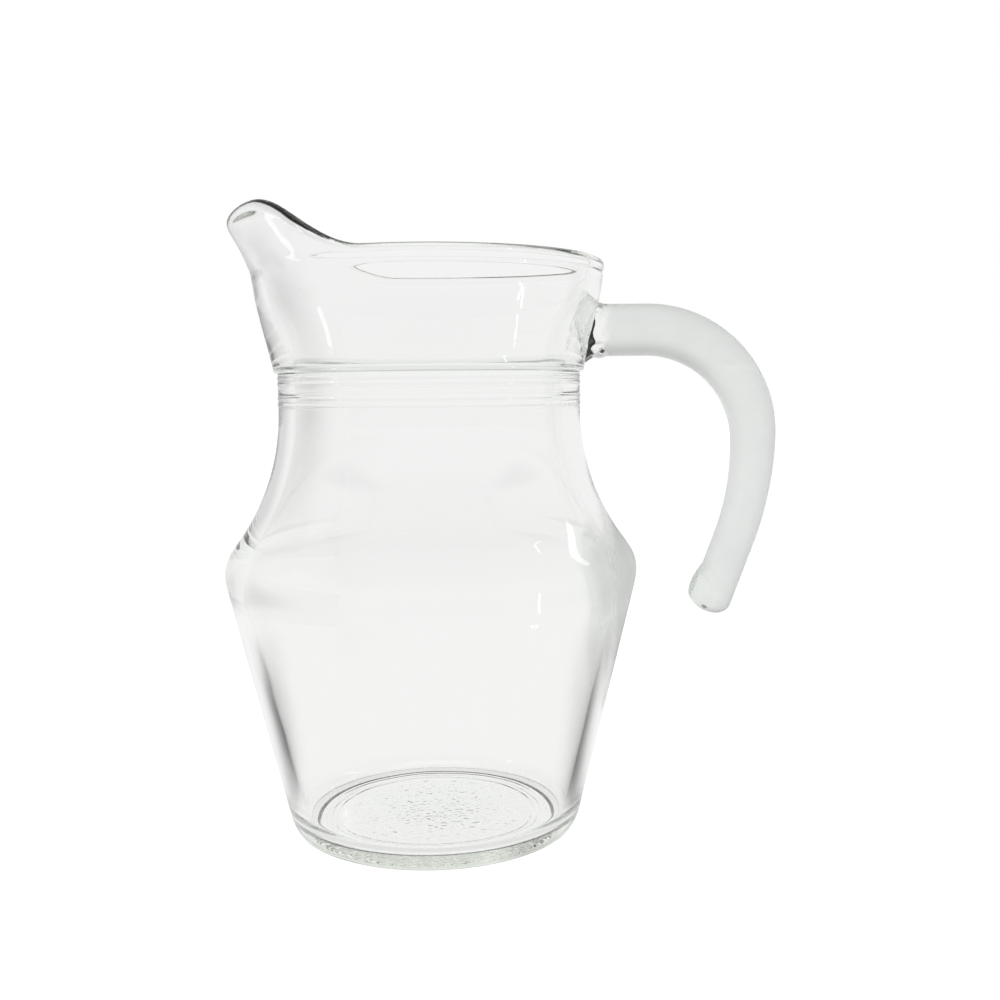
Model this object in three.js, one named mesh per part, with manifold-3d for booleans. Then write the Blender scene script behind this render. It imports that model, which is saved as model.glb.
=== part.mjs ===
// A large open water jug of heavy clear glass, in millimetres with +Z up.
// The origin is on the axis of the bowl, level with the ring that the jug stands on.
// The pouring lip points along -X and the handle along +X.
import * as THREE from 'three';
import { mergeVertices } from 'three/addons/utils/BufferGeometryUtils.js';
import Module from 'manifold-3d';

const wasm = await Module();
wasm.setup();

// Fits
const WELD_GAP = 0.3; // left between two pieces of glass that are welded together

// Foot and floor
const FOOT_RADIUS = 47; // outer edge of the ring that it stands on
const FOOT_RING_WIDTH = 4.5;
const FOOT_RECESS = 0.8; // how far the middle of the underside clears the table
const FLOOR_THICKNESS = 4;
const FLOOR_CORNER = 7; // reach of the rounding inside, between floor and wall

// Bowl and shoulder: a straight tapered wall, a rounded corner, and a hollow sweep up to the neck
const HEEL_RADIUS = 50.5; // where the rounded heel runs into the straight wall
const HEEL_HEIGHT = 6;
const SHOULDER_RADIUS = 71.1; // the corner before it is rounded
const SHOULDER_HEIGHT = 92;
const SWEEP_RISE = 50.6; // from the corner up to where the sweep becomes upright
const SHOULDER_ROUNDING = 6.5; // how far the rounding reaches down the wall and up the sweep
const INNER_ROUNDING = 12; // the same for the inside, which is softer
const WALL = 5.2;

// Neck, with fine raised rings under the ledge
const NECK_RADIUS = 50.8;
const NECK_HEIGHT = SHOULDER_HEIGHT + SWEEP_RISE;
const NECK_BAND = 14.1; // the upright stretch, up to the ledge
const RING_RISE = 0.4;
const RING_WIDTH = 1.5;
const RING_DROPS = [3.4, 5.3, 9.9, 12.1]; // from the ledge down to the middle of each ring

// Mouth
const LEDGE_HEIGHT = NECK_HEIGHT + NECK_BAND;
const LEDGE_STEP = 1.5; // how far the ledge stands out from the neck
const LEDGE_RADIUS = NECK_RADIUS + LEDGE_STEP;
const LEDGE_ROUNDING = 1.8;
const MOUTH_FLARE = 6.7; // how much wider the rim is than the ledge, on each side
const MOUTH_DEPTH = 35.1; // from the ledge up to the rim
const RIM_RADIUS = LEDGE_RADIUS + MOUTH_FLARE;
const RIM_HEIGHT = LEDGE_HEIGHT + MOUTH_DEPTH;
const RIM_THICKNESS = 4.8;
const MOUTH_LEAN = 0.2; // outward travel for each millimetre of height, just over the ledge
const RIM_LEAN = 0.09; // the same, just under the rim
const MOUTH_LOWER_EASE = 0.24; // how long the mouth keeps each lean, as a share of its height
const MOUTH_UPPER_EASE = 0.35;

// Pouring lip, pulled up and out of the rim; angles are in degrees, round from the lip's middle
const LIP_DEPTH = 13.8; // how far below the rim the pull begins
const LIP_RISE = 16.6;
const LIP_DIP = 3.5; // how much lower the middle of the channel is than its two wings
const LIP_REACH = 8;
const LIP_SPREAD = 74; // where the wings run out into the rim
const LIP_WING = 30; // where the wings stand highest
const LIP_REACH_SPREAD = 46;

// Handle: out from the mouth, round a bend, down a gentle curve and straight to its open end
const BAR_RISE = 12; // from the ledge up to the middle of the bar at its root
const BAR_HEIGHT = LEDGE_HEIGHT + BAR_RISE;
const BAR_STRAIGHT = 12.2; // from the weld pad out to where the bend begins
const BAR_BEND_RADIUS = 36.6;
const BAR_SWEEP_RADIUS = 100;
const BAR_SWEEP_ANGLE = 20.5;
const BAR_TAIL = 26.6; // length of the straight stretch at the end, bead included
const BAR_ROOT_THICKNESS = 17.5;
const BAR_TIP_THICKNESS = 13.8;
const BAR_TAPER_START = 0.15; // shares of the bar's length between which it thins
const BAR_TAPER_END = 0.8;
const BAR_FLATNESS = 1.06; // width across the hand over thickness

// Weld pad between the bar and the mouth
const PAD_THICKNESS = 5.86; // from the wall of the mouth out to the face that the bar joins
const PAD_FLARE = 4; // how much wider than the bar the pad is on the glass of the mouth
const PAD_DEPTH = 12; // over which it flares

// Bead that closes the open end of the bar
const BEAD_LENGTH = 15.5;
const BEAD_BULGE = 1.6; // how far it swells towards the jug
const BEAD_ROUNDING = 5; // over which its tip closes

// Fineness of the solids
const TURNS = 48;
const BAR_SIDES = 16;
const BAR_STEPS = 26;
const BEAD_STEPS = 9;
const HALVINGS = 40;

const { clamp, degToRad, lerp, smoothstep } = THREE.MathUtils;

// A closed geometry with shared vertices and no collapsed triangles.
function welded(geometry) {
  geometry.deleteAttribute('normal');
  geometry.deleteAttribute('uv');
  const merged = mergeVertices(geometry, 1e-3);
  const corners = merged.index.array;
  const kept = [];
  for (let i = 0; i < corners.length; i += 3) {
    const [a, b, c] = corners.slice(i, i + 3);
    if (a !== b && b !== c && c !== a) kept.push(a, b, c);
  }
  merged.setIndex(kept);
  return merged;
}

function toSolid(geometry) {
  const closed = welded(geometry);
  const vertProperties = Float32Array.from(closed.attributes.position.array);
  const triVerts = Uint32Array.from(closed.index.array);
  return new wasm.Manifold(new wasm.Mesh({ numProp: 3, vertProperties, triVerts }));
}

function toGeometry(solid) {
  const { vertProperties, triVerts } = solid.getMesh();
  const geometry = new THREE.BufferGeometry();
  geometry.setAttribute('position', new THREE.BufferAttribute(vertProperties, 3));
  geometry.setIndex(new THREE.BufferAttribute(triVerts, 1));
  return geometry;
}

// The outline, given as (radius, height), turned round the Z axis.
function turned(outline) {
  return welded(new THREE.LatheGeometry(outline, TURNS).rotateX(Math.PI / 2));
}

function append(outline, curve, divisions) {
  outline.push(...curve.getPoints(divisions));
}

// Where the line through a along u crosses the line through b along v.
function meet(a, u, b, v) {
  const along = (b.clone().sub(a).cross(v)) / u.cross(v);
  return a.clone().addScaledVector(u, along);
}

// The straight wall's direction, going up.
function wallDirection() {
  return new THREE.Vector2(SHOULDER_RADIUS - HEEL_RADIUS, SHOULDER_HEIGHT - HEEL_HEIGHT).normalize();
}

// A point that is length up the straight wall from the heel, sunk into the glass by inset.
function onWall(length, inset) {
  const up = wallDirection();
  const inward = new THREE.Vector2(-up.y, up.x);
  const onOutside = new THREE.Vector2(HEEL_RADIUS, HEEL_HEIGHT).addScaledVector(up, length);
  return onOutside.addScaledVector(inward, inset);
}

// The arc from shoulder to neck: its radius follows from the corner and from being upright at the neck.
function sweepRadius() {
  const across = SHOULDER_RADIUS - NECK_RADIUS;
  const up = NECK_HEIGHT - SHOULDER_HEIGHT;
  return (across * across + up * up) / (2 * across);
}

// The rounded shoulder and the sweep above it, sunk into the glass by inset.
function shoulderAndSweep(outline, inset, rounding, divisions) {
  const radius = sweepRadius();
  const centre = new THREE.Vector2(NECK_RADIUS + radius, NECK_HEIGHT);
  const cornerAngle = Math.asin((NECK_HEIGHT - SHOULDER_HEIGHT) / radius);
  const startAngle = Math.PI + cornerAngle - rounding / radius;
  const wallLength = Math.hypot(SHOULDER_RADIUS - HEEL_RADIUS, SHOULDER_HEIGHT - HEEL_HEIGHT);
  const wallEnd = onWall(wallLength - rounding, inset);
  const out = new THREE.Vector2(Math.cos(startAngle), Math.sin(startAngle));
  const sweepStart = centre.clone().addScaledVector(out, radius + inset);
  const corner = meet(wallEnd, wallDirection(), sweepStart, new THREE.Vector2(-out.y, out.x));
  append(outline, new THREE.QuadraticBezierCurve(wallEnd, corner, sweepStart), 5);
  const sweep = new THREE.EllipseCurve(
    centre.x, centre.y, radius + inset, radius + inset, startAngle, Math.PI, true,
  );
  append(outline, sweep, divisions);
}

function neckRings(outline) {
  for (const drop of [...RING_DROPS].reverse()) {
    const middle = LEDGE_HEIGHT - drop;
    outline.push(new THREE.Vector2(NECK_RADIUS, middle - RING_WIDTH / 2));
    outline.push(new THREE.Vector2(NECK_RADIUS + RING_RISE, middle));
    outline.push(new THREE.Vector2(NECK_RADIUS, middle + RING_WIDTH / 2));
  }
}

// The leaning wall of the mouth, from start up to the lip, sunk into the glass by inset at the rim.
function mouthCurve(start, inset) {
  const end = new THREE.Vector2(RIM_RADIUS - inset, RIM_HEIGHT - RIM_THICKNESS / 2);
  const height = end.y - start.y;
  const low = new THREE.Vector2(MOUTH_LEAN, 1).multiplyScalar(height * MOUTH_LOWER_EASE);
  const high = new THREE.Vector2(RIM_LEAN, 1).multiplyScalar(height * MOUTH_UPPER_EASE);
  return new THREE.CubicBezierCurve(start, start.clone().add(low), end.clone().sub(high), end);
}

function outerMouth(inset) {
  return mouthCurve(new THREE.Vector2(LEDGE_RADIUS - inset, LEDGE_HEIGHT), inset);
}

// How far out the wall of the mouth stands at a height, found by halving the curve.
function mouthRadiusAt(height) {
  const wall = outerMouth(0);
  let [low, high] = [0, 1];
  for (let i = 0; i < HALVINGS; i += 1) {
    const middle = (low + high) / 2;
    if (wall.getPoint(middle).y < height) low = middle;
    else high = middle;
  }
  return wall.getPoint(low).x;
}

// How far out the weld pad ends and the bar takes over.
function padFace() {
  return mouthRadiusAt(BAR_HEIGHT) + PAD_THICKNESS;
}

function underside(outline) {
  const inner = FOOT_RADIUS - FOOT_RING_WIDTH;
  outline.push(new THREE.Vector2(0, FOOT_RECESS));
  outline.push(new THREE.Vector2(inner - FOOT_RECESS, FOOT_RECESS));
  outline.push(new THREE.Vector2(inner, 0));
}

function heel(outline) {
  const foot = new THREE.Vector2(FOOT_RADIUS, 0);
  const wall = new THREE.Vector2(HEEL_RADIUS, HEEL_HEIGHT);
  const corner = meet(foot, new THREE.Vector2(1, 0), wall, wallDirection());
  append(outline, new THREE.QuadraticBezierCurve(foot, corner, wall), 4);
}

function ledge(outline) {
  const start = new THREE.Vector2(NECK_RADIUS, LEDGE_HEIGHT - LEDGE_ROUNDING);
  const corner = new THREE.Vector2(LEDGE_RADIUS, LEDGE_HEIGHT - LEDGE_ROUNDING);
  append(outline, new THREE.QuadraticBezierCurve(start, corner, outerMouth(0).v0), 3);
}

function lipRound(outline) {
  const half = RIM_THICKNESS / 2;
  append(outline, new THREE.EllipseCurve(RIM_RADIUS - half, RIM_HEIGHT - half, half, half, 0, Math.PI), 4);
}

// The inside, from the floor's middle up to the lip.
function inside() {
  const outline = [new THREE.Vector2(0, FLOOR_THICKNESS)];
  const level = new THREE.Vector2(0, FLOOR_THICKNESS);
  const corner = meet(level, new THREE.Vector2(1, 0), onWall(0, WALL), wallDirection());
  const onFloor = corner.clone().sub(new THREE.Vector2(FLOOR_CORNER, 0));
  const upWall = corner.clone().addScaledVector(wallDirection(), FLOOR_CORNER);
  append(outline, new THREE.QuadraticBezierCurve(onFloor, corner, upWall), 5);
  shoulderAndSweep(outline, WALL, INNER_ROUNDING, 3);
  const start = new THREE.Vector2(NECK_RADIUS - WALL, LEDGE_HEIGHT - LEDGE_ROUNDING);
  append(outline, mouthCurve(start, RIM_THICKNESS), 8);
  return outline;
}

// How far a vertex of the mouth is pulled up and out; away is its angle from the lip's middle.
function lipPull(height, away) {
  const share = smoothstep(height, RIM_HEIGHT - LIP_DEPTH, RIM_HEIGHT);
  const wings = 1 - smoothstep(away, degToRad(LIP_WING), degToRad(LIP_SPREAD));
  const channel = 1 - smoothstep(away, 0, degToRad(LIP_WING));
  const reach = 1 - smoothstep(away, 0, degToRad(LIP_REACH_SPREAD));
  return {
    up: share * (LIP_RISE * wings - LIP_DIP * channel),
    out: share * share * LIP_REACH * reach,
  };
}

function pullLip(geometry) {
  const place = geometry.attributes.position;
  for (let i = 0; i < place.count; i += 1) {
    const [x, y, z] = [place.getX(i), place.getY(i), place.getZ(i)];
    const radius = Math.hypot(x, y);
    if (z <= RIM_HEIGHT - LIP_DEPTH || radius === 0) continue;
    const { up, out } = lipPull(z, Math.acos(clamp(-x / radius, -1, 1)));
    const stretch = (radius + out) / radius;
    place.setXYZ(i, x * stretch, y * stretch, z + up);
  }
  return geometry;
}

// The foot, bowl, neck and mouth in one outline, and then the lip pulled out of the rim.
function jugBody() {
  const outline = [];
  underside(outline);
  heel(outline);
  shoulderAndSweep(outline, 0, SHOULDER_ROUNDING, 4);
  neckRings(outline);
  ledge(outline);
  append(outline, outerMouth(0), 9);
  lipRound(outline);
  outline.push(...inside().reverse());
  return pullLip(turned(outline));
}

// The middle line of the bar, as (X, Z), from the pad to the tip of the bead.
function barLine() {
  const bendStart = padFace() + BAR_STRAIGHT;
  const bendCentre = BAR_HEIGHT - BAR_BEND_RADIUS;
  const sweepEnd = -degToRad(BAR_SWEEP_ANGLE);
  const sweepCentre = bendStart + BAR_BEND_RADIUS - BAR_SWEEP_RADIUS;
  const line = new THREE.Path();
  line.moveTo(padFace(), BAR_HEIGHT);
  line.lineTo(bendStart, BAR_HEIGHT);
  line.absarc(bendStart, bendCentre, BAR_BEND_RADIUS, Math.PI / 2, 0, true);
  line.absarc(sweepCentre, bendCentre, BAR_SWEEP_RADIUS, 0, sweepEnd, true);
  const end = line.currentPoint;
  const down = new THREE.Vector2(Math.sin(sweepEnd), -Math.cos(sweepEnd));
  line.lineTo(end.x + down.x * BAR_TAIL, end.y + down.y * BAR_TAIL);
  return line;
}

function barHalfThickness(share) {
  const taper = smoothstep(share, BAR_TAPER_START, BAR_TAPER_END);
  return lerp(BAR_ROOT_THICKNESS, BAR_TIP_THICKNESS, taper) / 2;
}

// One oval section of the bar: share is how far along the line it is, swell reaches towards the jug.
function barSection(line, share, size, swell) {
  const middle = line.getPointAt(share);
  const along = line.getTangentAt(share);
  const outward = new THREE.Vector2(-along.y, along.x);
  const half = barHalfThickness(share);
  const section = [];
  for (let i = 0; i < BAR_SIDES; i += 1) {
    const angle = (2 * Math.PI * i) / BAR_SIDES;
    const towards = Math.cos(angle);
    const bulge = towards < 0 ? swell * towards * towards : 0;
    const across = (half * towards * size) - bulge;
    const place = middle.clone().addScaledVector(outward, across);
    section.push([place.x, half * BAR_FLATNESS * size * Math.sin(angle), place.y]);
  }
  return section;
}

// A closed skin over a run of sections, with a flat end at each side.
function skinned(sections) {
  const sides = sections[0].length;
  const middleOf = (section) => [0, 1, 2].map(
    (axis) => section.reduce((sum, corner) => sum + corner[axis], 0) / sides,
  );
  const positions = [...sections.flat(), middleOf(sections[0]), middleOf(sections.at(-1))].flat();
  const [first, last] = [sections.length * sides, sections.length * sides + 1];
  const faces = [];
  for (let i = 0; i < sides; i += 1) {
    const next = (i + 1) % sides;
    for (let row = 0; row < sections.length - 1; row += 1) {
      const [low, high] = [row * sides, (row + 1) * sides];
      faces.push(low + i, high + i, high + next);
      faces.push(low + i, high + next, low + next);
    }
    const top = (sections.length - 1) * sides;
    faces.push(first, i, next);
    faces.push(last, top + next, top + i);
  }
  const geometry = new THREE.BufferGeometry();
  geometry.setAttribute('position', new THREE.Float32BufferAttribute(positions, 3));
  geometry.setIndex(faces);
  return geometry;
}

function handle() {
  const line = barLine();
  const length = line.getLength();
  const start = WELD_GAP / length;
  const end = 1 - (BEAD_LENGTH + WELD_GAP) / length;
  const sections = [];
  for (let i = 0; i <= BAR_STEPS; i += 1) {
    sections.push(barSection(line, lerp(start, end, i / BAR_STEPS), 1, 0));
  }
  return skinned(sections);
}

// The bar's rounded end: it keeps the bar's size, swells towards the jug and closes in a round tip.
function endBead() {
  const line = barLine();
  const start = 1 - BEAD_LENGTH / line.getLength();
  const round = BEAD_ROUNDING / BEAD_LENGTH;
  const sections = [];
  for (let i = 0; i < BEAD_STEPS; i += 1) {
    const share = Math.sin((Math.PI / 2) * (i / BEAD_STEPS));
    const closing = clamp((share - 1 + round) / round, 0, 1);
    const size = Math.sqrt(1 - closing * closing);
    const swell = BEAD_BULGE * Math.sin(Math.PI * share);
    sections.push(barSection(line, lerp(start, 1, share), size, swell));
  }
  return skinned(sections);
}

// The flared pad, before the mouth is cut out of its back.
function padBlank() {
  const root = barHalfThickness(0);
  const face = new THREE.Vector2(root, padFace());
  const spread = new THREE.Vector2(root + PAD_FLARE, face.y - PAD_DEPTH);
  const waist = new THREE.Vector2(root, face.y - PAD_DEPTH / 2);
  const outline = [new THREE.Vector2(0, spread.y)];
  append(outline, new THREE.QuadraticBezierCurve(spread, waist, face), 4);
  outline.push(new THREE.Vector2(0, face.y));
  const blank = new THREE.LatheGeometry(outline, TURNS / 2).scale(1, 1, BAR_FLATNESS);
  return blank.rotateZ(-Math.PI / 2).rotateX(Math.PI / 2).translate(0, 0, BAR_HEIGHT);
}

function mouthWithClearance() {
  const neck = NECK_RADIUS + RING_RISE + WELD_GAP;
  const under = LEDGE_HEIGHT - LEDGE_ROUNDING - WELD_GAP;
  const outline = [new THREE.Vector2(0, NECK_HEIGHT)];
  outline.push(new THREE.Vector2(neck, NECK_HEIGHT));
  outline.push(new THREE.Vector2(neck, under));
  outline.push(new THREE.Vector2(LEDGE_RADIUS + WELD_GAP, under));
  append(outline, outerMouth(-WELD_GAP), 9);
  outline.push(new THREE.Vector2(0, RIM_HEIGHT));
  return turned(outline);
}

function weldPad() {
  return toGeometry(toSolid(padBlank()).subtract(toSolid(mouthWithClearance())));
}

function glassPiece(name, geometry, colour, roughness) {
  const material = new THREE.MeshStandardMaterial({ color: colour, roughness, metalness: 0 });
  const mesh = new THREE.Mesh(geometry, material);
  mesh.name = name;
  return mesh;
}

const jug = new THREE.Group();
jug.add(glassPiece('jug_body', jugBody(), 0xe6ebe3, 0.03));
jug.add(glassPiece('handle', handle(), 0xdfe5e3, 0.2));
jug.add(glassPiece('handle_weld_pad', weldPad(), 0xe0e6dd, 0.05));
jug.add(glassPiece('handle_end_bead', endBead(), 0xe0e6e0, 0.03));

export default jug;
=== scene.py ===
# A large open water jug of heavy clear glass, in metres, with its studio.
# The pouring lip points along -X and the handle along +X. The jug is made in millimetres and scaled to
# metres in mesh_object. Places and lengths of the glass's marks and of the studio are in metres.
import math

import bmesh
import bpy
import numpy as np
from mathutils import Matrix, Vector, noise


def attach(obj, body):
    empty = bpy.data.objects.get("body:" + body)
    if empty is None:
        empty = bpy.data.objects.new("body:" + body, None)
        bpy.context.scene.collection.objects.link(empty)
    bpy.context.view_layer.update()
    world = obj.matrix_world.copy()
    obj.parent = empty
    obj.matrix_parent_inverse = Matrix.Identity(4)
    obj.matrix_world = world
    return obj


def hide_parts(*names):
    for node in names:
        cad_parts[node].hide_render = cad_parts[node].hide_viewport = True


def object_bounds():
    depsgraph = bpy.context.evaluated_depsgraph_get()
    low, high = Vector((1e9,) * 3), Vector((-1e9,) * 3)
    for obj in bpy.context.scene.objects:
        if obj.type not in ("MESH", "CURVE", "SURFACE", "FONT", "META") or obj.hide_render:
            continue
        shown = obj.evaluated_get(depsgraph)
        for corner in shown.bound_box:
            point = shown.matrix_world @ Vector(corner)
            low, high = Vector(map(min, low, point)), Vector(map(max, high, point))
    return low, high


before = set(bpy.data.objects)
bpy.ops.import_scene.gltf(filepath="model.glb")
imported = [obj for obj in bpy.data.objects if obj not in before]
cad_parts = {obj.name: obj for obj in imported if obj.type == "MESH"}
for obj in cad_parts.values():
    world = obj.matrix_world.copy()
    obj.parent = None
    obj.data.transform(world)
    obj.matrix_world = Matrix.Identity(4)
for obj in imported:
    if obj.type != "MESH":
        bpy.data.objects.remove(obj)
CAD_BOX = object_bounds()

MM = 0.001
MERGE_DISTANCE = 1e-6  # metres
TINY = 1e-9  # keeps a division by the radius from failing on the axis

# Foot, floor and bowl
FOOT_RADIUS = 47
FOOT_RING_WIDTH = 4.5
FOOT_RECESS = 0.8
FOOT_EASE = 0.5  # rounding of the ring's two edges
FLOOR_THICKNESS = 4
FLOOR_CORNER = 7
HEEL_RADIUS = 50.5
HEEL_HEIGHT = 6
SHOULDER_RADIUS = 71.1
SHOULDER_HEIGHT = 92
SHOULDER_ROUNDING = 6.5
INNER_ROUNDING = 12
OUTER_EASE = 2.2  # how far the bends of the outside and of the inside are eased
INNER_EASE = 5.5
SWEEP_RISE = 50.6
WALL = 5.2

# Pattern pressed into the underside
STIPPLE_RADIUS = 33
STIPPLE_DEPTH = 0.13
STIPPLE_GRAIN = 2.2
STIPPLE_NOISE = 1.7  # noise cells to one grain
STIPPLE_EDGE = 2  # over which the dimples fade
BASE_RING_STEP = 2.2
BASE_RING_RISE = 0.1
BASE_RING_EASE = 1
RECESS_SLOPE = 0.7  # over which the recess eases down to the ring

# Neck and mouth
NECK_RADIUS = 50.8
NECK_HEIGHT = SHOULDER_HEIGHT + SWEEP_RISE
NECK_BAND = 14.1
RING_RISE = 0.2
RING_WIDTH = 1.5
RING_DROPS = (12.1, 9.9, 5.3, 3.4)
LEDGE_HEIGHT = NECK_HEIGHT + NECK_BAND
LEDGE_RADIUS = NECK_RADIUS + 1.5
LEDGE_ROUNDING = 1.8
RIM_RADIUS = LEDGE_RADIUS + 6.7
RIM_HEIGHT = LEDGE_HEIGHT + 35.1
RIM_THICKNESS = 4.8
RIM_INNER_ROUND = 6  # the rim's inner edge is rounder than its outer one
RIM_LINE_DROP = 4.2
RIM_LINE_DEPTH = 0.45
RIM_LINE_WIDTH = 0.9
MOUTH_LEAN = 0.2
RIM_LEAN = 0.09
MOUTH_LOWER_EASE = 0.24
MOUTH_UPPER_EASE = 0.35

# Pouring lip; angles in degrees from its middle
LIP_DEPTH = 13.8
LIP_RISE = 16.6
LIP_DIP = 3.5
LIP_REACH = 8
LIP_SPREAD = 74
LIP_WING = 30
LIP_REACH_SPREAD = 46
LIP_THINNING = 1.9  # how much thinner the glass is drawn out at the lip's edge

# Handle
BAR_HEIGHT = LEDGE_HEIGHT + 12
PAD_FACE = 61
PAD_FLARE = 4
PAD_DEPTH = 12
BAR_STRAIGHT = 12.2
BAR_BEND_RADIUS = 36.6
BAR_SWEEP_RADIUS = 100
BAR_SWEEP_ANGLE = 20.5
BAR_TAIL = 26.6
BAR_ROOT_THICKNESS = 17.5
BAR_TIP_THICKNESS = 13.8
BAR_TAPER = (0.15, 0.8)
BAR_FLATNESS = 1.06
BEAD_LENGTH = 15.5
BEAD_BULGE = 1.6
BEAD_ROUNDING = 5
TIP_PIT = 1.1  # the pinched point left where the bar was cut off
TIP_PIT_WIDTH = 0.32
WELD_LUMPS = 1.8
WELD_LUMP_SIZE = 4.2
BAR_BEND = BAR_BEND_RADIUS * math.pi / 2
BAR_SWEEP = BAR_SWEEP_RADIUS * math.radians(BAR_SWEEP_ANGLE)
BAR_LENGTH = BAR_STRAIGHT + BAR_BEND + BAR_SWEEP + BAR_TAIL

# Fineness: steps in millimetres, and rows as numbers
TURNS = 200
FINE_STEP = 0.25
ROW_STEP = 6  # fine steps to one row of the softened walls
EASE_REACH = 3  # how many times the ease its smoothing reaches to each side
STIPPLE_STEP = 0.6
BASE_RING_FINENESS = 0.25
HEEL_ROWS = 10
WALL_ROWS = 24
SHOULDER_ROWS = 24
SWEEP_ROWS = 60
RING_ROWS = 8
LEDGE_ROWS = 7
MOUTH_ROWS = 48
RIM_OUTER_ROWS = 10
RIM_INNER_ROWS = 16
INNER_MOUTH_ROWS = 30
FLOOR_ROWS = 13
FLOOR_CORNER_ROWS = 14
FLOOR_CORNER_GAP = 0.5
MEASURED_ROWS = 60  # rows of the mouth's wall that other pieces are measured from
OUTER_FACE = 1  # points less deep in the wall than this are on its outer face
BAR_SIDES = 48
BAR_STEP = 1.2
ROOT_STEP = 0.6
BEAD_ROWS = 22
TIP_ROWS = 10
TIP_SIZES = (0.36, 0.02)  # shares of the bar's thickness, from the bead's round to its pit
TIP_GAP = 0.1
CREASE = math.radians(38)

# Glass; a mottle is the scale and the detail of a noise
GLASS_INDEX = 1.5
GLASS_COLOUR = (0.985, 0.988, 0.985, 1)
TINT_COLOUR = (0.8, 0.87, 0.74, 1)
TINT_DENSITY = 6.0
SHADOW_COLOUR = (0.96, 0.965, 0.96, 1)
RIPPLE_MOTTLE = (38.0, 1.0)
RIPPLE_STRENGTH = 0.25
RIPPLE_DEPTH = 0.0006
SMEAR_MOTTLE = (22.0, 3.0)
SMEAR_HAZE = 0.01
CLOUD_MOTTLE = (90.0, 4.0)
CLOUD_SPAN = (0.38, 0.62)
CLOUD_HAZE = 0.24
BAR_HAZE = 0.3
BAR_FROM = (57 * MM, 62 * MM)  # along X, where the handle's haze sets in
BAR_COLOUR = (0.78, 0.795, 0.79, 1)
# the paler colour serves both the handle's clouds and its painted light
BAR_CLOUD_AND_LIT_COLOUR = (0.88, 0.89, 0.885, 1)
LIT_SIDE_AXES = (0.6, 0.8)  # painted light: how much facing inward and facing down make the handle paler
LIT_SIDE_SPAN = (-0.4, 1.0)
LIT_SIDE_SHARE = 0.75
CLOUD_SHARE = 0.35
DROP_PLACE = (92 * MM, 0, 79.5 * MM)  # the clear drop on the inner side of the bar's end
DROP_REACH = (7.5 * MM, 10 * MM)
DROP_COLOUR = (0.84, 0.87, 0.84, 1)
PIT_SHADE_PLACE = (92.6 * MM, -5.2 * MM, 74.4 * MM)  # painted shade: a dark dot in the drop, for the small dimple near the bar's end
PIT_SHADE_REACH = (0.7 * MM, 1.5 * MM)
PIT_SHADE_COLOUR = (0.12, 0.13, 0.12, 1)
LINE_FOOT = (154.4 * MM, 155.0 * MM)  # the fine grey line of painted shade under the ledge
LINE_TOP = (156.2 * MM, 156.8 * MM)
LINE_OUT = (50.4 * MM, 50.9 * MM)
LEDGE_SHADE_COLOUR = (0.84, 0.86, 0.85, 1)

# Studio: what the glass sees. The camera sees only white.
SET_WHITE = 0.91
SET_DIM = 0.5
DIM_FROM = (0.2, 0.75)  # sines of the height above the horizon
FLOOR_RADIUS = 6
FLOOR_SIDES = 96
FLOOR_COLOUR = (0.15, 0.15, 0.15, 1)
FLOOR_ROUGHNESS = 0.9
FLOOR_MOTTLE = (900.0, 2.0)
FLOOR_BUMP_STRENGTH = 0.02
FLOOR_BUMP_DEPTH = 0.0002
FLOOR_WHITE = 0.83
FLOOR_DARK = 0.05
DARK_SHIFT = -0.007
DARK_START = (0.03, 0.085)
DARK_REACH = (0.11, 0.26)
DARK_BEHIND = (-0.03, 0.01)
UNDER_JUG = (0.047, 0.056)
# painted contact shadow: a faint darker ring in the floor's glow under the jug's foot
CONTACT_SHADOW_FROM = (0.0415, 0.044)
CONTACT_SHADOW_TO = (0.047, 0.0495)
CONTACT_SHADOW_SHARE = 0.2
FLAG_DISTANCE = 0.5
FLAG_ANGLES = (104, 146)  # degrees round the jug from +X
FLAG_HEIGHTS = (0.0, 0.5)
FLAG_COLUMNS = 12
FLAG_SHADE = 0.62
FLAG_DARKENS = (0.13, 0.22)  # towards -X
FLAG_CLEARS = (0.3, 0.4)
FLAG_SOFT_Z = (0.02, 0.17)
SCREEN_X = -0.2
SCREEN_Y = (-0.14, -0.045)
SCREEN_Z = (0.12, 0.225)
LAMPS = {  # place, width and height, and watts
    "top_softbox": ((0, -0.1, 1.8), (1.2, 1.2), 4),
    "right_strip": ((0.92, 0.28, 0.85), (0.1, 0.5), 0.4),
    "left_strip": ((-1.0, -0.25, 0.5), (0.035, 0.25), 0.2),
}
LAMP_AIM = (0, 0, 0.1)

# Camera; angles in degrees, lens and sensor in millimetres
CAMERA_PLACE = (0.0242, -0.3983, 0.1495)
CAMERA_PITCH = -5.4736
CAMERA_YAW = 0.1136
CAMERA_ROLL = -0.5693
CAMERA_LENS = 42.0
CAMERA_SENSOR = 36.0
CAMERA_CLIP = (0.01, 50)


def smoothstep(value, low, high):
    share = np.clip((value - low) / (high - low), 0, 1)
    return share * share * (3 - 2 * share)


def curve(points, count):
    """Points along a Bezier curve of three or four control points, ends included."""
    points = np.array(points, float)
    shares = np.linspace(0, 1, count + 1)[:, None]
    rest = 1 - shares
    if len(points) == 3:
        weights = (rest**2, 2 * rest * shares, shares**2)
    else:
        weights = (rest**3, 3 * rest**2 * shares, 3 * rest * shares**2, shares**3)
    return sum(weight * point for weight, point in zip(weights, points))


def arc(centre, radius, start, end, count):
    angles = np.linspace(start, end, count + 1)
    return np.stack([centre[0] + radius * np.cos(angles), centre[1] + radius * np.sin(angles)], 1)


def cross(a, b):
    return a[0] * b[1] - a[1] * b[0]


def meet(a, along_a, b, along_b):
    """Where the line through a meets the line through b."""
    a, along_a = np.array(a, float), np.array(along_a, float)
    return a + along_a * cross(np.array(b, float) - a, along_b) / cross(along_a, along_b)


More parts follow.
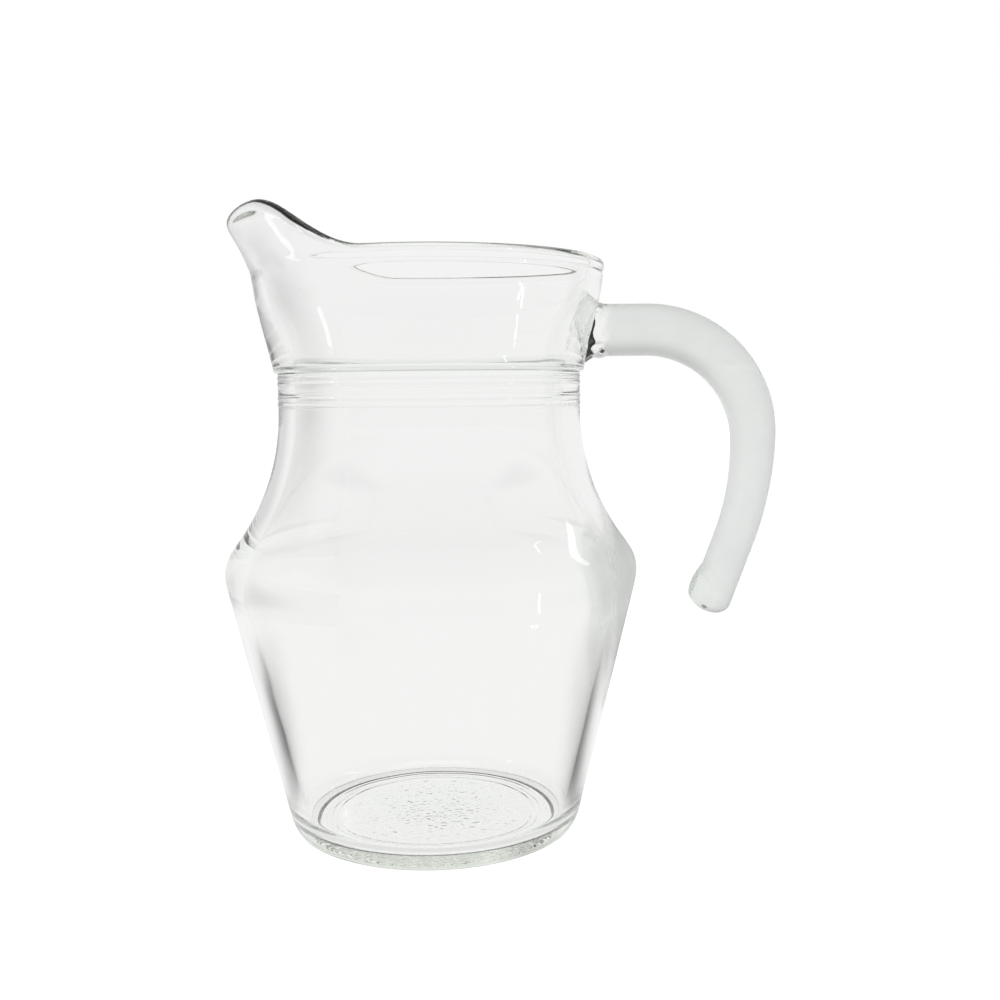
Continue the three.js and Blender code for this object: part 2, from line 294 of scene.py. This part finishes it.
def softened(points, ease):
    """The same line with its bends eased and its rows evenly apart. Its ends stay."""
    steps = np.hypot(*np.diff(points, axis=0).T)
    run = np.concatenate([[0], np.cumsum(steps)])
    count = ROW_STEP * round(run[-1] / FINE_STEP / ROW_STEP)
    places = np.linspace(0, run[-1], count + 1)
    even = np.stack([np.interp(places, run, points[:, axis]) for axis in (0, 1)], 1)
    reach = int(EASE_REACH * ease / FINE_STEP)
    weights = np.exp(-0.5 * (np.arange(-reach, reach + 1) * FINE_STEP / ease) ** 2)
    before = 2 * even[0] - even[reach:0:-1]
    after = 2 * even[-1] - even[-2:-reach - 2:-1]
    padded = np.concatenate([before, even, after])
    columns = [np.convolve(padded[:, axis], weights / weights.sum(), "valid") for axis in (0, 1)]
    return np.stack(columns, 1)[::ROW_STEP]


def wall_direction():
    rise = np.array([SHOULDER_RADIUS - HEEL_RADIUS, SHOULDER_HEIGHT - HEEL_HEIGHT], float)
    return rise / np.hypot(*rise)


def on_wall(length, inset):
    up = wall_direction()
    return np.array([HEEL_RADIUS, HEEL_HEIGHT]) + up * length + np.array([-up[1], up[0]]) * inset


def underside():
    """The recessed disc, with ridges near its edge, and the ring that the jug stands on."""
    inner = FOOT_RADIUS - FOOT_RING_WIDTH
    dimpled = np.arange(0, STIPPLE_RADIUS, STIPPLE_STEP)
    disc = np.concatenate([dimpled, np.arange(STIPPLE_RADIUS, inner, BASE_RING_FINENESS)])
    recess = FOOT_RECESS * (1 - smoothstep(disc, inner - RECESS_SLOPE, inner + FOOT_EASE))
    waves = 0.5 - 0.5 * np.cos(2 * math.pi * (disc - STIPPLE_RADIUS) / BASE_RING_STEP)
    ridged = smoothstep(disc, STIPPLE_RADIUS - BASE_RING_EASE, STIPPLE_RADIUS + BASE_RING_EASE)
    disc = np.stack([disc, recess + BASE_RING_RISE * waves * ridged * (recess / FOOT_RECESS)], 1)
    ring = [(inner + FOOT_EASE, 0), (FOOT_RADIUS - 2 * FOOT_EASE, 0)]
    return np.concatenate([disc, ring])


def heel():
    foot, wall = (FOOT_RADIUS, 0), (HEEL_RADIUS, HEEL_HEIGHT)
    return curve([foot, meet(foot, (1, 0), wall, wall_direction()), wall], HEEL_ROWS)


def shoulder_and_sweep(inset, rounding):
    """The straight wall's end, the rounded shoulder and the sweep up to the neck."""
    across = SHOULDER_RADIUS - NECK_RADIUS
    radius = (across**2 + SWEEP_RISE**2) / (2 * across)
    centre = np.array([NECK_RADIUS + radius, NECK_HEIGHT])
    start = math.pi + math.asin(SWEEP_RISE / radius) - rounding / radius
    length = math.hypot(across + NECK_RADIUS - HEEL_RADIUS, SHOULDER_HEIGHT - HEEL_HEIGHT)
    wall_end = on_wall(length - rounding, inset)
    out = np.array([math.cos(start), math.sin(start)])
    sweep_start = centre + out * (radius + inset)
    corner = meet(wall_end, wall_direction(), sweep_start, (-out[1], out[0]))
    straight = np.linspace(on_wall(0, inset), wall_end, WALL_ROWS)[:-1]
    rounded = curve([wall_end, corner, sweep_start], SHOULDER_ROWS)
    sweep = arc(centre, radius + inset, start, math.pi, SWEEP_ROWS)[1:]
    return np.concatenate([straight, rounded, sweep])


def neck_rings():
    spread = np.linspace(-0.5, 0.5, RING_ROWS)
    rings = []
    for drop in RING_DROPS:
        heights = LEDGE_HEIGHT - drop + spread * RING_WIDTH
        radii = NECK_RADIUS + RING_RISE * np.cos(spread * math.pi) ** 2
        rings.append(np.stack([radii, heights], 1))
    return np.concatenate(rings)


def mouth(start, inset, drop, count):
    """The leaning wall of the mouth, from start up to drop under the rim."""
    end = np.array([RIM_RADIUS - inset, RIM_HEIGHT - drop])
    height = end[1] - start[1]
    low = np.array([MOUTH_LEAN, 1]) * height * MOUTH_LOWER_EASE
    high = np.array([RIM_LEAN, 1]) * height * MOUTH_UPPER_EASE
    return curve([start, np.array(start) + low, end - high, end], count)


def ledge():
    under = LEDGE_HEIGHT - LEDGE_ROUNDING
    edge = (LEDGE_RADIUS, LEDGE_HEIGHT)
    return curve([(NECK_RADIUS, under), (LEDGE_RADIUS, under), edge], LEDGE_ROWS)


def rim():
    half = RIM_THICKNESS / 2
    outer = arc((RIM_RADIUS - half, RIM_HEIGHT - half), half, 0, math.pi / 2, RIM_OUTER_ROWS)
    top = (RIM_RADIUS - half, RIM_HEIGHT)
    foot = (RIM_RADIUS - RIM_THICKNESS, RIM_HEIGHT - RIM_INNER_ROUND)
    inner = curve([top, meet(top, (1, 0), foot, (RIM_LEAN, 1)), foot], RIM_INNER_ROWS)[1:]
    return np.concatenate([outer, inner])


def inside():
    """The inside, from the middle of the floor up to the rim."""
    corner = meet((0, FLOOR_THICKNESS), (1, 0), on_wall(0, WALL), wall_direction())
    on_floor = corner - np.array([FLOOR_CORNER, 0])
    up_wall = corner + wall_direction() * FLOOR_CORNER
    floor = np.linspace(0, on_floor[0], FLOOR_ROWS + 1)[:-1]
    floor = np.stack([floor, np.full(FLOOR_ROWS, FLOOR_THICKNESS)], 1)
    bend = curve([on_floor, corner, up_wall], FLOOR_CORNER_ROWS)
    above = softened(shoulder_and_sweep(WALL, INNER_ROUNDING), INNER_EASE)
    above = above[above[:, 1] > up_wall[1] + FLOOR_CORNER_GAP]
    start = (NECK_RADIUS - WALL, LEDGE_HEIGHT - LEDGE_ROUNDING)
    leaning = mouth(start, RIM_THICKNESS, RIM_INNER_ROUND, INNER_MOUTH_ROWS)[:-1]
    return np.concatenate([floor, bend, above, leaning])


def outer_mouth(count):
    return mouth((LEDGE_RADIUS, LEDGE_HEIGHT), 0, RIM_THICKNESS / 2, count)


def mouth_radius(heights):
    """How far out the mouth's outer face is at each height."""
    wall = outer_mouth(MEASURED_ROWS)
    return np.interp(heights, wall[:, 1], wall[:, 0])


def body_outline():
    wall = softened(shoulder_and_sweep(0, SHOULDER_ROUNDING), OUTER_EASE)[1:]
    outside = [underside(), heel(), wall, neck_rings(), ledge(), outer_mouth(MOUTH_ROWS)[1:-1], rim()]
    return np.concatenate(outside + [inside()[::-1]])


def press_rim_line(points, outside):
    """The shallow line left level all round under the rim, where the lip was pulled up from."""
    off = (points[:, 2] - RIM_HEIGHT + RIM_LINE_DROP) / RIM_LINE_WIDTH
    depth = RIM_LINE_DEPTH * np.exp(-off**2) * outside
    radius = np.maximum(np.hypot(points[:, 0], points[:, 1]), TINY)
    points[:, :2] *= (1 - depth / radius)[:, None]
    return points


def pull_lip(points):
    """Pulls the top of the mouth up and out round the middle of the pouring lip."""
    radius = np.hypot(points[:, 0], points[:, 1])
    away = np.degrees(np.arccos(np.clip(-points[:, 0] / np.maximum(radius, TINY), -1, 1)))
    share = smoothstep(points[:, 2], RIM_HEIGHT - LIP_DEPTH, RIM_HEIGHT)
    wings = 1 - smoothstep(away, LIP_WING, LIP_SPREAD)
    channel = 1 - smoothstep(away, 0, LIP_WING)
    reach = LIP_REACH * share**2 * (1 - smoothstep(away, 0, LIP_REACH_SPREAD))
    depth = mouth_radius(points[:, 2]) - radius
    thinned = np.clip(depth / RIM_THICKNESS, 0, 1) * (points[:, 2] > LEDGE_HEIGHT)
    reach = reach + LIP_THINNING * thinned * share * wings
    stretch = (radius + reach) / np.maximum(radius, TINY)
    pulled = points.copy()
    pulled[:, :2] *= stretch[:, None]
    pulled[:, 2] += share * (LIP_RISE * wings - LIP_DIP * channel)
    return press_rim_line(pulled, (points[:, 2] > LEDGE_HEIGHT) & (depth < OUTER_FACE))


def press_stipple(points):
    """Small dimples all over the recessed disc of the underside."""
    for point in points:
        radius = math.hypot(point[0], point[1])
        if point[2] > FOOT_RECESS + BASE_RING_RISE or radius > STIPPLE_RADIUS:
            continue
        grain = noise.noise(Vector((point[0], point[1], 0)) / STIPPLE_GRAIN * STIPPLE_NOISE)
        fade = 1 - smoothstep(radius, STIPPLE_RADIUS - STIPPLE_EDGE, STIPPLE_RADIUS)
        point[2] += STIPPLE_DEPTH * grain * fade
    return points


def turned(outline):
    """Points and faces of the outline turned round the Z axis; its two ends are on the axis."""
    angles = np.arange(TURNS) * 2 * math.pi / TURNS
    rows = outline[1:-1]
    radii, heights = rows[:, :1], np.repeat(rows[:, 1:], TURNS, 1)
    ring_points = np.stack([radii * np.cos(angles), radii * np.sin(angles), heights], 2)
    ring_points = ring_points.reshape(-1, 3)
    points = np.concatenate([ring_points, [(0, 0, outline[0][1]), (0, 0, outline[-1][1])]])
    first, last = len(ring_points), len(ring_points) + 1
    faces = []
    for i in range(TURNS):
        j = (i + 1) % TURNS
        faces.append((first, j, i))
        for low in range(0, len(ring_points) - TURNS, TURNS):
            faces.append((low + i, low + j, low + TURNS + j, low + TURNS + i))
        top = len(ring_points) - TURNS
        faces.append((last, top + i, top + j))
    return points, faces


def bar_place(distance):
    """The bar's middle and its direction, as (X, Z) each, at a distance along it from the pad's face."""
    bend_start = PAD_FACE + BAR_STRAIGHT
    low = BAR_HEIGHT - BAR_BEND_RADIUS
    if distance <= BAR_STRAIGHT:
        return np.array([PAD_FACE + distance, BAR_HEIGHT]), np.array([1.0, 0.0])
    distance -= BAR_STRAIGHT
    if distance <= BAR_BEND:
        angle = math.pi / 2 - distance / BAR_BEND_RADIUS
        out = np.array([math.cos(angle), math.sin(angle)])
        return np.array([bend_start, low]) + out * BAR_BEND_RADIUS, np.array([out[1], -out[0]])
    distance -= BAR_BEND
    centre = np.array([bend_start + BAR_BEND_RADIUS - BAR_SWEEP_RADIUS, low])
    angle = -min(distance, BAR_SWEEP) / BAR_SWEEP_RADIUS
    out = np.array([math.cos(angle), math.sin(angle)])
    along = np.array([out[1], -out[0]])
    return centre + out * BAR_SWEEP_RADIUS + along * max(distance - BAR_SWEEP, 0), along


def weld_lumps(angles, distance):
    """Uneven swellings of the glass that spreads at the weld, none at the bar's own end."""
    turn = BAR_ROOT_THICKNESS / WELD_LUMP_SIZE / 2
    spots = [(math.cos(a) * turn, math.sin(a) * turn, distance / WELD_LUMP_SIZE) for a in angles]
    return np.array([noise.noise(spot) for spot in spots]) * smoothstep(-distance, 0, PAD_DEPTH / 3)


def bar_section(distance):
    """One oval section of the bar: flared behind the pad's face, and closing in the bead at its end."""
    middle, along = bar_place(distance)
    outward = np.array([-along[1], along[0]])
    taper = smoothstep(distance / BAR_LENGTH, *BAR_TAPER)
    half = (BAR_ROOT_THICKNESS + (BAR_TIP_THICKNESS - BAR_ROOT_THICKNESS) * taper) / 2
    half += PAD_FLARE * (min(distance, 0) / PAD_DEPTH) ** 2
    closing = np.clip((distance - BAR_LENGTH + BEAD_ROUNDING) / BEAD_ROUNDING, 0, 1)
    size = math.sqrt(1 - closing**2)
    middle = middle - along * TIP_PIT * (1 - smoothstep(size, 0, TIP_PIT_WIDTH))
    in_bead = np.clip((distance - BAR_LENGTH + BEAD_LENGTH) / BEAD_LENGTH, 0, 1)
    swell = BEAD_BULGE * math.sin(math.pi * in_bead)
    angles = np.arange(BAR_SIDES) * 2 * math.pi / BAR_SIDES
    if distance < 0:
        half = half + WELD_LUMPS * weld_lumps(angles, distance)
    across = half * size * np.cos(angles) - swell * np.clip(-np.cos(angles), 0, 1) ** 2
    x = middle[0] + outward[0] * across
    z = middle[1] + outward[1] * across
    return np.stack([x, half * size * BAR_FLATNESS * np.sin(angles), z], 1)


def wall_middle(points):
    """How far out along X the middle of the mouth's wall is, at each point's height."""
    radius = mouth_radius(points[:, 2]) - WALL / 2
    return np.sqrt(radius**2 - points[:, 1] ** 2)


def bar_sections():
    root = np.arange(-PAD_DEPTH, 0, ROOT_STEP)
    plain = BAR_LENGTH - BEAD_LENGTH
    run = np.linspace(0, plain, int(plain / BAR_STEP))
    bead = BAR_LENGTH - BEAD_LENGTH * (1 - np.sin(np.linspace(0, math.pi / 2, BEAD_ROWS)[1:]))
    sizes = np.linspace(*TIP_SIZES, TIP_ROWS)
    tip = BAR_LENGTH - BEAD_ROUNDING * (1 - np.sqrt(1 - sizes**2))
    bead = bead[bead < tip[0] - TIP_GAP]
    sections = [bar_section(distance) for distance in np.concatenate([root, run, bead, tip])]
    for section in sections:
        section[:, 0] = np.maximum(section[:, 0], wall_middle(section))
    return sections


def skinned(sections):
    """Points and faces of a closed skin over a run of sections."""
    sides = len(sections[0])
    points = np.concatenate(sections + [[sections[0].mean(0)], [sections[-1].mean(0)]])
    faces = []
    for i in range(sides):
        j = (i + 1) % sides
        for low in range(0, (len(sections) - 1) * sides, sides):
            faces.append((low + i, low + sides + i, low + sides + j, low + j))
        top = (len(sections) - 1) * sides
        faces.append((len(points) - 2, i, j))
        faces.append((len(points) - 1, top + j, top + i))
    return points, faces


def mesh_object(name, points, faces):
    mesh = bpy.data.meshes.new(name)
    mesh.from_pydata([tuple(p) for p in np.asarray(points) * MM], [], faces)
    form = bmesh.new()
    form.from_mesh(mesh)
    bmesh.ops.remove_doubles(form, verts=form.verts, dist=MERGE_DISTANCE)
    bmesh.ops.recalc_face_normals(form, faces=form.faces)
    form.to_mesh(mesh)
    form.free()
    thing = bpy.data.objects.new(name, mesh)
    bpy.context.scene.collection.objects.link(thing)
    return thing


def joined(body, bar):
    """The two made one solid, as glass that is welded hot."""
    weld = body.modifiers.new("weld", "BOOLEAN")
    weld.operation = "UNION"
    weld.solver = "MANIFOLD"
    weld.object = bar
    graph = bpy.context.evaluated_depsgraph_get()
    mesh = bpy.data.meshes.new_from_object(body.evaluated_get(graph))
    body.modifiers.clear()
    body.data = mesh
    bpy.data.objects.remove(bar)
    return body


def glass_jug():
    points, faces = turned(body_outline())
    body = mesh_object("jug_glass", press_stipple(pull_lip(points)), faces)
    bar = mesh_object("bar", *skinned(bar_sections()))
    jug = joined(body, bar)
    jug.data.shade_smooth()
    jug.data.set_sharp_from_angle(angle=CREASE)
    return jug


class Wire:
    """An output socket. Arithmetic on it adds Math nodes."""

    def __init__(self, recipe, socket):
        self.recipe = recipe
        self.socket = socket

    def math(self, operation, *values):
        sockets = dict(enumerate(values))
        return self.recipe.node("ShaderNodeMath", {"operation": operation}, sockets)["Value"]

    def __add__(self, other):
        return self.math("ADD", self, other)

    __radd__ = __add__

    def __mul__(self, other):
        return self.math("MULTIPLY", self, other)

    __rmul__ = __mul__

    def __sub__(self, other):
        return self.math("SUBTRACT", self, other)

    def __rsub__(self, other):
        return self.math("SUBTRACT", other, self)

    def __abs__(self):
        return self.math("ABSOLUTE", self)


class Recipe:
    """A node tree that is filled one node at a time."""

    def __init__(self, tree):
        tree.nodes.clear()
        self.tree = tree

    def node(self, kind, settings=None, sockets=None):
        """Adds a node, its settings first, and gives back its outputs by name."""
        made = self.tree.nodes.new(kind)
        for name, value in (settings or {}).items():
            setattr(made, name, value)
        for name, value in (sockets or {}).items():
            if isinstance(value, Wire):
                self.tree.links.new(value.socket, made.inputs[name])
            else:
                made.inputs[name].default_value = value
        return {output.name: Wire(self, output) for output in made.outputs if output.enabled}


def material(name):
    made = bpy.data.materials.new(name)
    made.use_nodes = True
    return made, Recipe(made.node_tree)


def span(recipe, value, low, high):
    """0 below low, 1 above high, and smooth between."""
    settings = {"interpolation_type": "SMOOTHSTEP"}
    sockets = {"Value": value, "From Min": low, "From Max": high}
    return recipe.node("ShaderNodeMapRange", settings, sockets)["Result"]


def mottle(recipe, place, scale, detail):
    sockets = {"Vector": place, "Scale": scale, "Detail": detail}
    return recipe.node("ShaderNodeTexNoise", None, sockets)["Fac"]


def along_axes(recipe, vector):
    return recipe.node("ShaderNodeSeparateXYZ", None, {"Vector": vector})


def length(recipe, vector):
    return recipe.node("ShaderNodeVectorMath", {"operation": "LENGTH"}, {0: vector})["Value"]


def far_from(recipe, place, spot):
    return recipe.node("ShaderNodeVectorMath", {"operation": "DISTANCE"}, {0: place, 1: spot})["Value"]


def coloured(recipe, share, first, second):
    """The first colour where share is 0 and the second where it is 1."""
    sockets = {"Factor": share, 6: first, 7: second}
    return recipe.node("ShaderNodeMix", {"data_type": "RGBA"}, sockets)["Result"]


def handle_white_and_painted_light(recipe, cloud):
    """The handle's milky white, paler in its clouds, and paler by painted light on the side that faces
    down and inward.
    """
    facing = along_axes(recipe, recipe.node("ShaderNodeNewGeometry")["Normal"])
    inward, down = LIT_SIDE_AXES
    # painted light: the side that faces down and inward is made paler
    lit_side = span(recipe, 0 - facing["X"] * inward - facing["Z"] * down, *LIT_SIDE_SPAN)
    share = lit_side * LIT_SIDE_SHARE + span(recipe, cloud, *CLOUD_SPAN) * CLOUD_SHARE
    return coloured(recipe, share, BAR_COLOUR, BAR_CLOUD_AND_LIT_COLOUR)


def ledge_shade_line(recipe, axes):
    """1 on the fine grey line of painted shade under the ledge, on the outside of the neck only."""
    flat = recipe.node("ShaderNodeCombineXYZ", None, {"X": axes["X"], "Y": axes["Y"]})["Vector"]
    level = span(recipe, axes["Z"], *LINE_FOOT) * (1 - span(recipe, axes["Z"], *LINE_TOP))
    return level * span(recipe, length(recipe, flat), *LINE_OUT)


def glass_material():
    """Clear glass, hazy on the handle. Shadow and diffuse rays go straight through it."""
    made, recipe = material("clear_glass")
    place = recipe.node("ShaderNodeNewGeometry")["Position"]
    axes = along_axes(recipe, place)
    cloud = mottle(recipe, place, *CLOUD_MOTTLE)
    smear = mottle(recipe, place, *SMEAR_MOTTLE)
    off_drop = span(recipe, far_from(recipe, place, DROP_PLACE), *DROP_REACH)
    off_pit_shade = span(recipe, far_from(recipe, place, PIT_SHADE_PLACE), *PIT_SHADE_REACH)
    on_bar = span(recipe, axes["X"], *BAR_FROM) * off_drop
    colour = coloured(recipe, on_bar, GLASS_COLOUR, handle_white_and_painted_light(recipe, cloud))
    colour = coloured(recipe, 1 - off_drop, colour, DROP_COLOUR)
    # painted shade: the dark dot in the drop
    colour = coloured(recipe, 1 - off_pit_shade, colour, PIT_SHADE_COLOUR)
    # painted shade: the grey line under the ledge
    colour = coloured(recipe, ledge_shade_line(recipe, axes), colour, LEDGE_SHADE_COLOUR)
    ripple = mottle(recipe, place, *RIPPLE_MOTTLE)
    bump = {"Strength": RIPPLE_STRENGTH, "Distance": RIPPLE_DEPTH, "Height": ripple}
    sockets = {
        "Base Color": colour,
        "Roughness": on_bar * (BAR_HAZE + cloud * CLOUD_HAZE) + smear * SMEAR_HAZE,
        "IOR": GLASS_INDEX,
        "Transmission Weight": 1.0,
        "Normal": recipe.node("ShaderNodeBump", None, bump)["Normal"],
    }
    glass = recipe.node("ShaderNodeBsdfPrincipled", None, sockets)["BSDF"]
    clear = recipe.node("ShaderNodeBsdfTransparent", None, {"Color": SHADOW_COLOUR})["BSDF"]
    path = recipe.node("ShaderNodeLightPath")
    through = path["Is Shadow Ray"].math("MAXIMUM", path["Is Shadow Ray"], path["Is Diffuse Ray"])
    surface = recipe.node("ShaderNodeMixShader", None, {0: through, 1: glass, 2: clear})["Shader"]
    tint = {"Color": TINT_COLOUR, "Density": TINT_DENSITY}
    tint = recipe.node("ShaderNodeVolumeAbsorption", None, tint)["Volume"]
    recipe.node("ShaderNodeOutputMaterial", None, {"Surface": surface, "Volume": tint})
    return made


def darkened(white, shade, share):
    """White where share is 0 and the shade where it is 1."""
    return white - share * (white - shade)


def white_when_seen(recipe, brightness):
    """White to the camera, and the given brightness to the glass."""
    seen = recipe.node("ShaderNodeLightPath")["Is Camera Ray"]
    return seen + (1 - seen) * brightness


def floor_darkness(recipe, place):
    """The soft dark area beside and behind the jug, and the faint ring of painted contact shadow where
    it stands.
    """
    axes = along_axes(recipe, place)
    away = length(recipe, place)
    aside = abs(axes["X"] - DARK_SHIFT) - abs(axes["Y"])
    dark = span(recipe, aside, *DARK_START) * (1 - span(recipe, away, *DARK_REACH))
    dark = dark * span(recipe, away, *UNDER_JUG) * span(recipe, axes["Y"], *DARK_BEHIND)
    # painted contact shadow where the jug stands
    contact_shadow = span(recipe, away, *CONTACT_SHADOW_FROM) * (1 - span(recipe, away, *CONTACT_SHADOW_TO))
    return dark.math("MAXIMUM", dark, contact_shadow * CONTACT_SHADOW_SHARE)


def floor_material():
    made, recipe = material("studio_floor")
    place = recipe.node("ShaderNodeNewGeometry")["Position"]
    brightness = darkened(FLOOR_WHITE, FLOOR_DARK, floor_darkness(recipe, place))
    grain = mottle(recipe, place, *FLOOR_MOTTLE)
    bump = {"Strength": FLOOR_BUMP_STRENGTH, "Distance": FLOOR_BUMP_DEPTH, "Height": grain}
    sockets = {
        "Base Color": FLOOR_COLOUR,
        "Roughness": FLOOR_ROUGHNESS,
        "Specular IOR Level": 0.0,
        "Emission Color": white_when_seen(recipe, brightness),
        "Emission Strength": 1.0,
        "Normal": recipe.node("ShaderNodeBump", None, bump)["Normal"],
    }
    paint = recipe.node("ShaderNodeBsdfPrincipled", None, sockets)["BSDF"]
    recipe.node("ShaderNodeOutputMaterial", None, {"Surface": paint})
    return made


def card_material(name, brightness):
    made, recipe = material(name)
    card = recipe.node("ShaderNodeEmission", None, {"Color": brightness(recipe), "Strength": 1.0})
    recipe.node("ShaderNodeOutputMaterial", None, {"Surface": card["Emission"]})
    return made


def flag_brightness(recipe):
    """Dark in the middle and towards the top, and fading into the set's white elsewhere."""
    axes = along_axes(recipe, recipe.node("ShaderNodeNewGeometry")["Position"])
    left = 0 - axes["X"]
    across = span(recipe, left, *FLAG_DARKENS) * (1 - span(recipe, left, *FLAG_CLEARS))
    return darkened(SET_WHITE, FLAG_SHADE, across * span(recipe, axes["Z"], *FLAG_SOFT_Z))


def screen_brightness(recipe):
    return (SET_WHITE, SET_WHITE, SET_WHITE, 1)


def studio_floor():
    form = bmesh.new()
    bmesh.ops.create_circle(form, cap_ends=True, segments=FLOOR_SIDES, radius=FLOOR_RADIUS)
    mesh = bpy.data.meshes.new("studio_floor")
    form.to_mesh(mesh)
    form.free()
    floor = bpy.data.objects.new("studio_floor", mesh)
    floor.location.z = CAD_BOX[0].z
    bpy.context.scene.collection.objects.link(floor)
    floor.data.materials.append(floor_material())


def hidden_card(name, corners, faces, brightness):
    """A card of the set that only the glass sees."""
    mesh = bpy.data.meshes.new(name)
    mesh.from_pydata(corners, [], faces)
    card = bpy.data.objects.new(name, mesh)
    bpy.context.scene.collection.objects.link(card)
    card.data.materials.append(card_material(name, brightness))
    card.visible_camera = False
    card.visible_diffuse = False
    card.visible_shadow = False


def studio_flag():
    """A curved grey card at the rear left, which gives the clear glass its edges."""
    angles = np.radians(np.linspace(*FLAG_ANGLES, FLAG_COLUMNS))
    corners = []
    for z in FLAG_HEIGHTS:
        corners += [(FLAG_DISTANCE * math.cos(a), FLAG_DISTANCE * math.sin(a), z) for a in angles]
    above = FLAG_COLUMNS
    faces = [(i, i + 1, i + 1 + above, i + above) for i in range(FLAG_COLUMNS - 1)]
    hidden_card("studio_flag", corners, faces, flag_brightness)


def studio_screen():
    """A white card that keeps the left strip's light off the neck, but not off the mouth."""
    front, back = SCREEN_Y
    foot, top = SCREEN_Z
    sides = [(front, foot), (back, foot), (back, top), (front, top)]
    corners = [(SCREEN_X, y, z) for y, z in sides]
    hidden_card("studio_screen", corners, [(0, 1, 2, 3)], screen_brightness)


def softbox(name, place, size, power):
    lamp = bpy.data.lights.new(name, "AREA")
    lamp.shape = "RECTANGLE"
    lamp.size, lamp.size_y = size
    lamp.energy = power
    thing = bpy.data.objects.new(name, lamp)
    bpy.context.scene.collection.objects.link(thing)
    thing.location = place
    aim = Vector(LAMP_AIM) - Vector(place)
    thing.rotation_euler = aim.to_track_quat("-Z", "Y").to_euler()
    thing.visible_camera = False


def lights():
    for name, (place, size, power) in LAMPS.items():
        softbox(name, place, size, power)
    world = bpy.data.worlds.new("studio")
    world.use_nodes = True
    recipe = Recipe(world.node_tree)
    aim = recipe.node("ShaderNodeTexCoord")["Generated"]
    rise = recipe.node("ShaderNodeSeparateXYZ", None, {"Vector": aim})["Z"]
    brightness = white_when_seen(recipe, darkened(SET_WHITE, SET_DIM, span(recipe, rise, *DIM_FROM)))
    sky = recipe.node("ShaderNodeBackground", None, {"Color": brightness, "Strength": 1.0})
    recipe.node("ShaderNodeOutputWorld", None, {"Surface": sky["Background"]})
    bpy.context.scene.world = world


def camera():
    data = bpy.data.cameras.new("camera")
    data.lens = CAMERA_LENS
    data.sensor_width = CAMERA_SENSOR
    data.clip_start, data.clip_end = CAMERA_CLIP
    thing = bpy.data.objects.new("camera", data)
    bpy.context.scene.collection.objects.link(thing)
    yaw = Matrix.Rotation(math.radians(CAMERA_YAW), 4, "Z")
    pitch = Matrix.Rotation(math.radians(90 + CAMERA_PITCH), 4, "X")
    roll = Matrix.Rotation(math.radians(CAMERA_ROLL), 4, "Z")
    thing.matrix_world = Matrix.Translation(CAMERA_PLACE) @ yaw @ pitch @ roll
    bpy.context.scene.camera = thing


def look():
    scene = bpy.context.scene
    scene.view_settings.view_transform = "Standard"
    scene.cycles.max_bounces = 32
    scene.cycles.transmission_bounces = 28
    scene.cycles.glossy_bounces = 12
    scene.cycles.transparent_max_bounces = 32
    scene.cycles.caustics_reflective = False
    scene.cycles.caustics_refractive = False


camera()
look()
jug = glass_jug()
jug.data.materials.clear()
jug.data.materials.append(glass_material())
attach(jug, "root")
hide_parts("jug_body", "handle", "handle_weld_pad", "handle_end_bead")
studio_floor()
studio_flag()
studio_screen()
lights()
